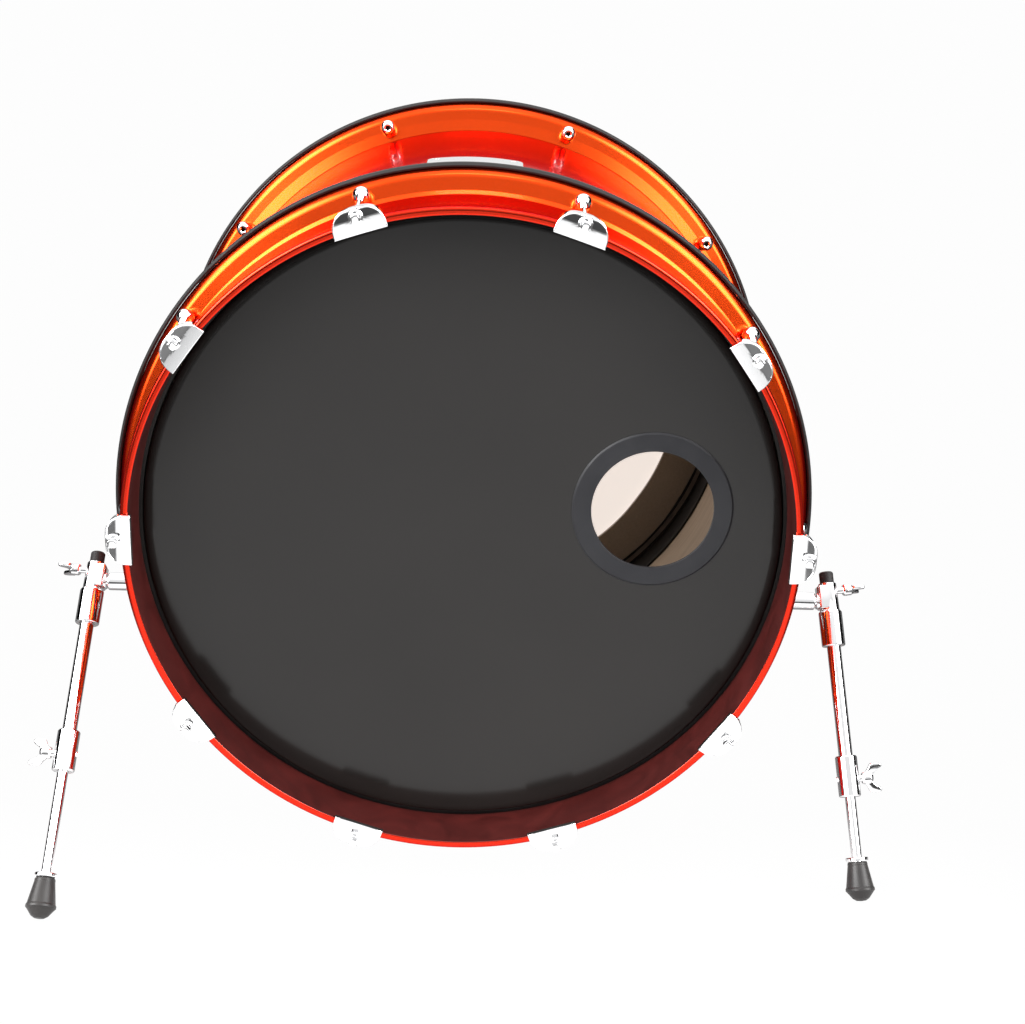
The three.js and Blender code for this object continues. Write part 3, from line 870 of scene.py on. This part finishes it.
def claw_plate(name, place, node):
    """The lip's far edge comes first, then the plate's rows, and a last point at the rod."""
    points, count = [], len(CLAW_OUTLINE)
    for p in CLAW_OUTLINE:
        back = CLAW_INNER if p.y < 280.6 else CLAW_BACK
        skirt = 1 / (1 + math.exp(-(p.y - 289.3) * 9))
        points.append(place @ Vector((p.x, back + (CLAW_LIP - back) * skirt, p.y)))
    rod = Vector((0, ROD_RADIUS_OUT))
    rows = [(row, 0.0) for row in EDGE_ROWS] + [(EDGE_ROWS[-1], row) for row in INNER_ROWS]
    for inset, share in rows:
        for p in CLAW_OUTLINE:
            q = (p + (rod - p).normalized() * inset).lerp(rod, share)
            points.append(place @ Vector((q.x, plate_height(q, inset), q.y)))
    points.append(place @ Vector((rod.x, plate_height(rod, EDGE_ROWS[-1]), rod.y)))
    faces = ring_faces(len(rows) + 1, count)
    last = len(rows) * count
    faces += [(last + k, last + (k + 1) % count, len(points) - 1) for k in range(count)]
    piece = make_piece(name, points, faces, [CHROME], sharp=70)
    thick = piece.modifiers.new("steel_thickness", "SOLIDIFY")
    thick.thickness, thick.offset = CLAW_STEEL, -1
    settle(piece, "drum", "chrome", node)


for number in range(1, STATIONS + 1):
    claw_plate(f"front_claw_plate_{number:02d}", station(number), f"front_claw_{number:02d}")
    claw_plate(f"batter_claw_plate_{number:02d}", station(number, True), f"batter_claw_{number:02d}")

# ---- tension rods ----
# Steel rods with a square key head and a round flange, chromed, and threaded where they enter the ball.
# Each goes through its claw, and pulls the hoop down on the head when it is turned.

ROD_RADIUS = 2.9
THREAD_LENGTH, THREAD_RADIUS, THREAD_DEPTH = 26, 2.7, 0.24
PITCH, CUTS_PER_TURN = 1.25, 5
KEY_CORNER = 1.41 * 3.05
FRONT_BALL = Vector((0, 73.5, 296.4))
FRONT_BALL_RUN = math.hypot(FRONT_BALL.y, FRONT_BALL.z - ROD_RADIUS_OUT)
BATTER_BALL_RUN = DRUM_DEPTH - 467.2


def thread_cut(radius, height, angle):
    """The thread winds round the part of the rod that has its radius."""
    if radius != THREAD_RADIUS:
        return radius, height
    return THREAD_RADIUS + THREAD_DEPTH * math.sin(2 * math.pi * height / PITCH - angle), height


def key_rod(name, length, place):
    """A rod along its own Z, from the key head below zero to its threaded end."""
    thread_from = length - THREAD_LENGTH
    shape = [
        (0, -5.0, 0), (4.4, -5.0, 0.6), (6.0, -3.9, 0.6), (6.0, -2.0, 0.3), (ROD_RADIUS, -2.2, 0.3),
        (ROD_RADIUS, thread_from, 0), (2.55, thread_from + 0.5, 0),
    ]
    cuts = int(THREAD_LENGTH / PITCH * CUTS_PER_TURN)
    shape += [(THREAD_RADIUS, thread_from + 0.6 + k * PITCH / CUTS_PER_TURN, 0) for k in range(cuts)]
    shape += [(2.3, length, 0.3), (0, length, 0)]
    settle(turned(name, shape, place, [CHROME], 20, thread_cut), "drum", "chrome")
    square = []
    for corner in range(4):
        for lean in (-0.18, 0.18):
            angle = math.pi / 4 + corner * math.pi / 2 + lean
            square.append((KEY_CORNER * math.cos(angle), KEY_CORNER * math.sin(angle)))
    levels = [(-4.8, 0), (-11.6, 0.0), (-12.3, 0.25), (-12.7, 0.9), (-12.8, 1.6)]
    settle(outline_slab(name + "_key", square, levels, place, 28), "drum", "chrome")


def rod_place(number, batter, along=0.0):
    """Front rods lean out to their ball. Batter rods run straight through the collar."""
    lean = 0.0 if batter else math.atan2(FRONT_BALL.z - ROD_RADIUS_OUT, FRONT_BALL.y)
    local = Matrix.Translation((0, 0, ROD_RADIUS_OUT)) @ Matrix.Rotation(lean - math.pi / 2, 4, "X")
    return station(number, batter) @ local @ Matrix.Translation((0, 0, along))


for end, batter, run in (("front", False, FRONT_BALL_RUN), ("batter", True, BATTER_BALL_RUN)):
    for number in range(1, STATIONS + 1):
        key_rod(f"{end}_rod_{number:02d}", run - 2, rod_place(number, batter))

# ---- ball lugs ----
# Turned balls, bored for the rod. The front ones stand on short posts screwed to the collar, and the
# batter ones are nuts that sit before the collar, open at the front.

BALL = 7.7


def ball_arc(start, end, count=11):
    """Points round a ball of the lug's radius, from one height to another."""
    points = []
    for k in range(count):
        height_mm = start + (end - start) * (0.5 - 0.5 * math.cos(math.pi * k / (count - 1)))
        points.append((math.sqrt(BALL**2 - height_mm**2), height_mm, 0, 0))
    return points


# The bores and the nuts' open fronts are black: painted shade inside the holes.
bored = [(0, -1, 0, 1), (ROD_RADIUS + 0.1, -1, 0, 1), (ROD_RADIUS + 0.1, -6.2, 0, 0)]
front_ball = bored + ball_arc(-6.4, 6.5) + [(3.4, 6.8, 0, 0), (3.4, 8.8, 0.2, 0), (0, 8.8, 0, 0)]
batter_ball = bored + ball_arc(-6.4, 6.1)
batter_ball += [(3.3, 6.3, 0.2, 0), (2.5, 5.6, 0, 1), (2.4, 0.5, 0, 1), (0, 0.5, 0, 1)]
for number in range(1, STATIONS + 1):
    place = rod_place(number, False, FRONT_BALL_RUN)
    piece = turned(f"front_ball_lug_{number:02d}", front_ball, place, [CHROME, DARK_TAPE_AND_PAINTED_SHADE], 40)
    settle(piece, "drum", "chrome", f"front_lug_{number:02d}")
    place = rod_place(number, True, BATTER_BALL_RUN)
    piece = turned(f"batter_ball_nut_{number:02d}", batter_ball, place, [CHROME, DARK_TAPE_AND_PAINTED_SHADE], 40)
    settle(piece, "drum", "chrome")

# ---- spur brackets ----
# One on each side, cast and chromed: a foot curved to the shell and held by two screws,
# and a trumpet-shaped arm that carries the pin on which the spur swings.

SIDES = {"left": -1, "right": 1}
FOOT_HALF_ALONG, FOOT_CORNER, FOOT_EDGE = 21.0, 9.0, (3.2, 3.2)
FOOT_GAP, FOOT_THICK = 0.35, 4.8
SCREW_LIFT, SCREW_SEAT = 0.022, 4.6


def joint(name):
    """The record's joint of that name."""
    return next(j for j in frame["joints"] if j["name"] == name)


def across(side):
    """A frame in millimetres at the swing pin, whose Z points out to the side."""
    pivot = Vector(joint(f"{side}_spur_swing")["pos_m"])
    return Matrix.Translation(pivot) @ Matrix.Rotation(SIDES[side] * math.pi / 2, 4, "Y") @ MM


def bracket_foot(side, node):
    """The foot follows the shell's curve, and its two screws stand square to it."""
    low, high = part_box(node)
    middle_z, middle_y = (low.z + high.z) / 2, (low.y + high.y) / 2

    def on_side(up_mm, along_mm, radius):
        z = middle_z + up_mm * 0.001
        out_from_axis = math.sqrt(max(1e-9, (radius * 0.001) ** 2 - (z - AXIS.z) ** 2))
        return Vector((AXIS.x + SIDES[side] * out_from_axis, middle_y + along_mm * 0.001, z))

    half = ((high.z - low.z) * 500, FOOT_HALF_ALONG)
    radii = (SHELL_OUTSIDE + FOOT_GAP, SHELL_OUTSIDE + FOOT_THICK)
    foot = bent_sheet(node + "_foot", half, FOOT_CORNER, (30, 20), 1.5, FOOT_EDGE, radii, on_side)
    settle(foot, "drum", "chrome")
    for number, lift in enumerate((-SCREW_LIFT, SCREW_LIFT), 1):
        seat = on_side(lift * 1000, 0, SHELL_OUTSIDE + SCREW_SEAT)
        outward = Vector((seat.x - AXIS.x, 0, seat.z - AXIS.z)).normalized()
        stand = outward.to_track_quat("Z", "Y").to_matrix().to_4x4()
        place = Matrix.Translation(seat) @ stand @ MM
        slotted_screw(f"{side}_bracket_screw_{number}", 4.2, 2.4, place, "drum")


for side in SIDES:
    node = f"{side}_spur_bracket"
    out_at = abs(joint(f"{side}_spur_swing")["pos_m"][0] - AXIS.x) * 1000
    arm = [
        (0, 282 - out_at, 0), (15.5, 282 - out_at, 1), (15, 287 - out_at, 3), (11.5, 293 - out_at, 9),
        (8.2, 304 - out_at, 12), (8.2, 327 - out_at, 1.6), (4, 327.2 - out_at, 0.3), (4, 331.6 - out_at, 0.8),
        (0, 332 - out_at, 0),
    ]
    settle(turned(node + "_arm", arm, across(side), [CHROME], 64), "drum", "chrome", node)
    bracket_foot(side, node)

# ---- spur clamps ----
# A cast block holds the tube and turns on the bracket's pin. A long collar below it steadies the tube.
# The block's wing bolt locks the swing.

TUBE_RADIUS = 6.35
CLAMP_BOLT_AT = -10
BLOCK_HEIGHT, BLOCK_MIDDLE = 21.6, -4
CHEEK_AT = 8.6 * 0.86


def leg_frame(side):
    """The leg's own frame: millimetres from the swing pin, X out to the side and Z down along the leg."""
    pivot = Vector(joint(f"{side}_spur_swing")["pos_m"])
    down = Vector(joint(f"{side}_spur_extend")["axis"])
    outward = Vector(joint(f"{side}_clamp_bolt_turn")["axis"])
    basis = Matrix((outward, down.cross(outward), down)).transposed().to_4x4()
    return Matrix.Translation(pivot) @ basis @ MM


def rounded_block(name, size, middle, place, rounding):
    """A cast block with rounded edges."""
    work = bmesh.new()
    bmesh.ops.create_cube(work, size=1)
    for vertex in work.verts:
        vertex.co = vertex.co * Vector(size) + Vector(middle)
    bmesh.ops.bevel(work, geom=list(work.edges), offset=rounding, segments=4, profile=0.5, affect="EDGES")
    points = [place @ v.co for v in work.verts]
    faces = [[v.index for v in f.verts] for f in work.faces]
    work.free()
    return make_piece(name, points, faces, [CHROME], sharp=40)


def wing_bolt(name, place, node):
    """A cast wing nut head on its screw: two upswept leaves on a round hub, along its own X."""
    stand = place @ Matrix.Rotation(math.pi / 2, 4, "Y")
    hub = [
        (0, 0, 0), (2.6, 0, 0.4), (3, 0.8, 0.2), (3, 7, 0.2), (4.6, 7, 0.5), (5.4, 8.6, 0.8),
        (5.0, 14.8, 1.2), (3.2, 17, 1.2), (0, 17.2, 0),
    ]
    settle(turned(name + "_hub", hub, stand, [CHROME], 40), name, "chrome", node)
    leaf = [
        (2.2, 10.2), (3.4, 9.5), (5.0, 9.9), (7.2, 11.3), (9.6, 12.7), (12.0, 13.6),
        (13.2, 14.6), (13.7, 16.4), (13.9, 19.0), (13.8, 21.8), (13.3, 23.9), (12.2, 24.9),
        (10.6, 24.9), (9.0, 23.6), (7.4, 21.2), (5.6, 18.8), (3.9, 17.2), (2.2, 16.2),
    ]
    levels = [
        (-1.7, 1.0), (-1.5, 0.4), (-1.0, 0.06), (-0.5, 0), (0.5, 0), (1.0, 0.06), (1.5, 0.4), (1.7, 1.0),
    ]
    flat = stand @ Matrix.Rotation(math.pi / 2, 4, "X")
    for tag, mirror in (("a", 1), ("b", -1)):
        outline = [(mirror * x, y) for x, y in leaf]
        settle(outline_slab(f"{name}_leaf_{tag}", outline, levels, flat, 50), name, "chrome")


for side in SIDES:
    body = f"{side}_spur"
    leg = leg_frame(side)
    collar = [
        (TUBE_RADIUS + 0.3, -17, 0.3), (8.2, -17, 1), (9, 8, 0.6), (10.8, 10.4, 1.8), (10.8, 42, 1.4),
        (TUBE_RADIUS + 0.3, 42, 0.4),
    ]
    piece = turned(f"{side}_clamp_collar", collar, leg, [CHROME], 64)
    settle(piece, body, "chrome", f"{side}_spur_clamp")
    for tag, size, middle, rounding in (
        ("block", (7.0, 16.6, BLOCK_HEIGHT), (-6.9, 0, BLOCK_MIDDLE), 1.6),
        ("cheek_front", (13.4, 2.6, BLOCK_HEIGHT), (-2.9, -CHEEK_AT, BLOCK_MIDDLE), 1.0),
        ("cheek_rear", (13.4, 2.6, BLOCK_HEIGHT), (-2.9, CHEEK_AT, BLOCK_MIDDLE), 1.0),
    ):
        settle(rounded_block(f"{side}_clamp_{tag}", size, middle, leg, rounding), body, "chrome")
    eye = [(4.3, 12.4, 0.3), (4.3, 8.4, 0.2), (0, 8.4, 0), (0, 7, 0), (7.6, 7, 0.4), (7.6, 12.4, 0.9)]
    inward = across(side) @ Matrix.Rotation(math.pi, 4, "X")
    settle(turned(f"{side}_clamp_eye", eye, inward, [CHROME], 48), body, "chrome")
    upright = Matrix.Translation((TUBE_RADIUS + 0.5, 0, CLAMP_BOLT_AT)) @ Matrix.Rotation(math.pi / 2, 4, "X")
    wing_bolt(f"{side}_clamp_bolt", leg @ upright, f"{side}_clamp_wing_bolt")

# ---- spur tubes ----
# Drawn steel tube, chromed, held by the clamp and its collar.
# A black plug is pushed into its top.

TUBE_BORE, TUBE_TOP, TUBE_END = 5.2, -25, 155

for side in SIDES:
    body, leg = f"{side}_spur", leg_frame(side)
    tube = [
        (0, TUBE_TOP, 0), (TUBE_RADIUS, TUBE_TOP, 0.5), (TUBE_RADIUS, TUBE_END, 0.4),
        (TUBE_BORE, TUBE_END, 0.3), (TUBE_BORE, TUBE_TOP + 1.5, 0.2), (0, TUBE_TOP + 1.5, 0),
    ]
    settle(turned(f"{side}_leg_tube", tube, leg, [CHROME], 64), body, "chrome", f"{side}_spur_tube")
    plug = [
        (0, -28, 0), (5.6, -28, 1.4), (TUBE_RADIUS + 0.2, -26.6, 0.6), (TUBE_RADIUS + 0.2, -17.2, 0.3),
        (6.4, -17.2, 0.1), (6.4, -25.2, 0.1), (0, -25.2, 0),
    ]
    settle(turned(f"{side}_tube_plug", plug, leg, [BEAD_PLASTIC], 48), body, "black_trim")

# ---- height collars ----
# A thick sleeve, chromed and pressed on the tube's lower end, with a small screw on its inner side.
# Its wing bolt bears on the sliding rod and sets the leg's length.

HEIGHT_BOLT_AT, HEIGHT_BOLT_LEAN = 164, 0.35

for side in SIDES:
    body, leg = f"{side}_spur", leg_frame(side)
    sleeve = [
        (TUBE_RADIUS + 0.2, 143, 0.2), (9.0, 143, 0.8), (9.9, 144.2, 0.6), (9.9, 178.8, 0.6), (9.0, 180, 0.8),
        (TUBE_BORE, 180, 0.3), (TUBE_BORE, 155.4, 0.2), (TUBE_RADIUS + 0.2, 155.4, 0.2),
    ]
    piece = turned(f"{side}_height_sleeve", sleeve, leg, [CHROME], 64)
    settle(piece, body, "chrome", f"{side}_height_collar")
    place = leg @ Matrix.Translation((-9.6, 0, HEIGHT_BOLT_AT)) @ Matrix.Rotation(-math.pi / 2, 4, "Y")
    slotted_screw(f"{side}_sleeve_screw", 2.6, 1.9, place, body)
    leaning = Matrix.Translation((5.6, 0, HEIGHT_BOLT_AT)) @ Matrix.Rotation(HEIGHT_BOLT_LEAN, 4, "X")
    wing_bolt(f"{side}_height_bolt", leg @ leaning, f"{side}_height_wing_bolt")

# ---- spur rods and feet ----
# A chromed steel rod slides in each tube, and a washer on it stops the rubber foot.
# The foot is moulded like a bung, wider towards the floor and tapered under its edge.

RUBBER = moulded_black("foot_rubber", (0.014, 0.013, 0.013), (0.024, 0.022, 0.021), 0.36, 0.5)
ROD_LENGTH, LEG_ROD = 165.0, 4.75
# The washer's distance down the leg: the two legs are drawn out differently.
WASHER_AT = {"left": 270.0, "right": 234.0}

for side, washer in WASHER_AT.items():
    body, leg = f"{side}_rod", leg_frame(side)
    rod_top = washer - ROD_LENGTH
    rod = [
        (0, rod_top, 0), (4.2, rod_top, 0.3), (LEG_ROD, rod_top + 0.8, 0.3), (LEG_ROD, washer + 16, 0.4),
        (0, washer + 16, 0),
    ]
    settle(turned(f"{side}_leg_rod", rod, leg, [CHROME], 48), body, "chrome", f"{side}_spur_rod")
    disc = [
        (4.8, washer, 0.2), (9.6, washer, 0.5), (10.2, washer + 0.9, 0.5), (10.2, washer + 2.8, 0.5),
        (9.6, washer + 3.4, 0.4), (4.8, washer + 3.4, 0.2),
    ]
    settle(turned(f"{side}_rod_washer", disc, leg, [CHROME], 48), body, "chrome")
    top = washer + 3.7
    foot = [
        (4.85, top, 0.3), (8.2, top, 0.6), (8.8, top + 1.4, 0.6), (9.0, top + 2.6, 0.4),
        (8.9, top + 3.2, 0.3), (12.2, top + 22.2, 0.8), (13.0, top + 23.6, 0.5), (13.0, top + 25.6, 0.7),
        (11.9, top + 26.6, 0.5),
        (7.4, top + 32.4, 1.0), (4.2, top + 34.4, 1.6), (0, top + 34.8, 0), (0, top + 16.6, 0),
        (4.85, top + 16.6, 0.2),
    ]
    settle(turned(f"{side}_foot_bung", foot, leg, [RUBBER], 64), body, "rubber", f"{side}_spur_foot")
